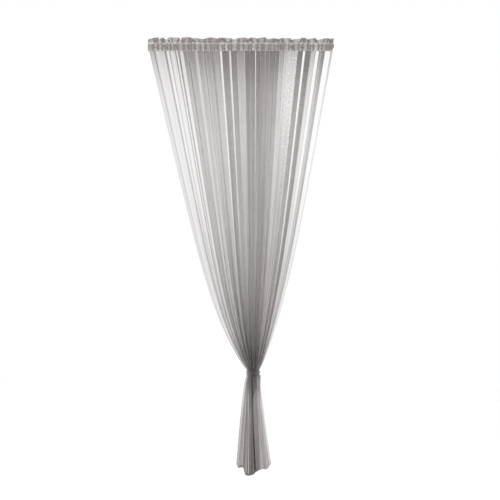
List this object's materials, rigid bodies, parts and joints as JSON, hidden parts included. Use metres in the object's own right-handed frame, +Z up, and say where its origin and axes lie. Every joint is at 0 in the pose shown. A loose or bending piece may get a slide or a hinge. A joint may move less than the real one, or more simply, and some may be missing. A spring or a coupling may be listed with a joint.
{
  "type": "rod pocket curtain panel on a tension rod",
  "caption": "Sheer curtain panel gathered on a telescoping spring tension rod through its rod pocket and cinched low with a fabric tie; the rod's feet press on facing walls.",
  "frame": {"origin": "middle of the left foot's flat wall face, on the rod's axis", "axes": "+X along the rod from the left foot to the right foot, +Z up, the curtain's front faces -Y"},
  "size_m": [0.902, 0.068, 2.1319],
  "materials": {
    "voile": "sheer plain-weave voile, grey",
    "voile_hem": "turned and stitched voile, grey",
    "voile_tie": "folded voile band, grey",
    "tube_paint": "white powder-coated steel tube",
    "white_plastic": "moulded white plastic",
    "foot_rubber": "soft grey rubber",
    "spring_steel": "bright spring steel"
  },
  "bodies": {
    "rod_base": {"outer_tube": "tube_paint", "tube_collar": "white_plastic", "left_plug": "white_plastic", "left_foot": "foot_rubber", "screw_guide": "white_plastic", "tension_spring": "spring_steel"},
    "sprung_screw": {"drive_screw": "white_plastic", "spring_washer": "spring_steel"},
    "wall_foot": {"right_foot": "foot_rubber"},
    "turning_tube": {"inner_tube": "tube_paint", "right_plug": "white_plastic", "screw_nut": "white_plastic"},
    "curtain": {"heading_ruffle": "voile", "rod_pocket_front": "voile_hem", "rod_pocket_back": "voile_hem", "drape_panel": "voile", "left_side_hem": "voile_hem", "right_side_hem": "voile_hem", "tie_band": "voile_tie", "tie_knot": "voile_tie"},
    "tail": {"tail_panel": "voile", "tail_left_hem": "voile_hem", "tail_right_hem": "voile_hem", "bottom_hem": "voile_hem"},
    "right_tie_end": {"tie_end_right": "voile_tie"},
    "back_tie_end": {"tie_end_back": "voile_tie"}
  },
  "joints": [
    {"name": "spring_travel", "type": "slide", "parent": "rod_base", "child": "sprung_screw", "axis": [1, 0, 0], "range_m": [-0.012, 0], "stiffness_N_per_m": 1500, "springref_m": 0.006, "deforming": ["tension_spring"]},
    {"name": "rod_extend", "type": "slide", "parent": "sprung_screw", "child": "wall_foot", "axis": [1, 0, 0], "range_m": [-0.03, 0.25]},
    {"name": "rod_twist", "type": "hinge", "parent": "wall_foot", "child": "turning_tube", "pos_m": [0.8934, 0, 0], "axis": [1, 0, 0], "range_deg": [-1080, 9000]},
    {"name": "curtain_swing", "type": "hinge", "parent": "rod_base", "child": "curtain", "pos_m": [0.451, 0, 0], "axis": [1, 0, 0], "range_deg": [-20, 20]},
    {"name": "tail_swing", "type": "hinge", "parent": "curtain", "child": "tail", "pos_m": [0.509, 0, -1.586], "axis": [0, 1, 0], "range_deg": [-15, 15]},
    {"name": "tie_end_right_swing", "type": "hinge", "parent": "curtain", "child": "right_tie_end", "pos_m": [0.5425, 0.0267, -1.6023], "axis": [0, -1, 0], "range_deg": [-15, 60]},
    {"name": "tie_end_back_swing", "type": "hinge", "parent": "curtain", "child": "back_tie_end", "pos_m": [0.5275, 0.0303, -1.6023], "axis": [0, -1, 0], "range_deg": [-35, 35]}
  ],
  "couplings": [
    {"joint": "rod_extend", "follows": "rod_twist", "m_per_rad": 0.0015915}
  ]
}
